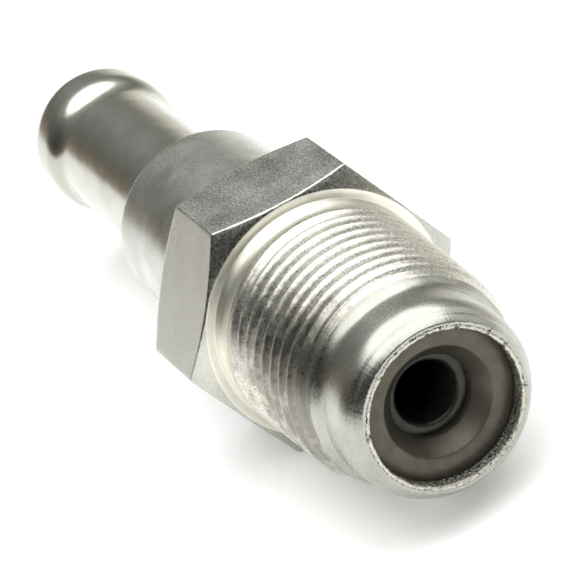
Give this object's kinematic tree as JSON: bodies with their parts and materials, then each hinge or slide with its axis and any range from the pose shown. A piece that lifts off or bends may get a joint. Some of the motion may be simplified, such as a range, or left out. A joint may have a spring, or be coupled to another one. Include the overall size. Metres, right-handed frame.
{
  "type": "crankcase ventilation valve",
  "caption": "Screw-in crankcase ventilation valve in plated steel: taper-threaded nose, hexagon, straight hose nipple with bead, spring-loaded plunger inside.",
  "frame": {"origin": "on the valve's axis, in the plane of the hexagon's thread-side face", "axes": "+X along the axis towards the threaded nose, +Z square to the upper hexagon flat; the valve lies on the opposite flat"},
  "size_m": [0.067, 0.022, 0.019],
  "materials": {
    "plated_steel": "bright zinc plating, lightly grained",
    "seat_steel": "dull oiled steel",
    "plunger_steel": "turned steel",
    "spring_wire": "drawn wire"
  },
  "bodies": {
    "body": {"valve_body": "plated_steel", "seat_ring": "seat_steel", "return_spring": "spring_wire"},
    "plunger": {"plunger": "plunger_steel"}
  },
  "joints": [
    {"name": "plunger_slide", "type": "slide", "parent": "body", "child": "plunger", "axis": [-1, 0, 0], "range_m": [0, 0.008], "stiffness_N_per_m": 156, "springref_m": -0.004, "deforming": ["return_spring"]}
  ]
}
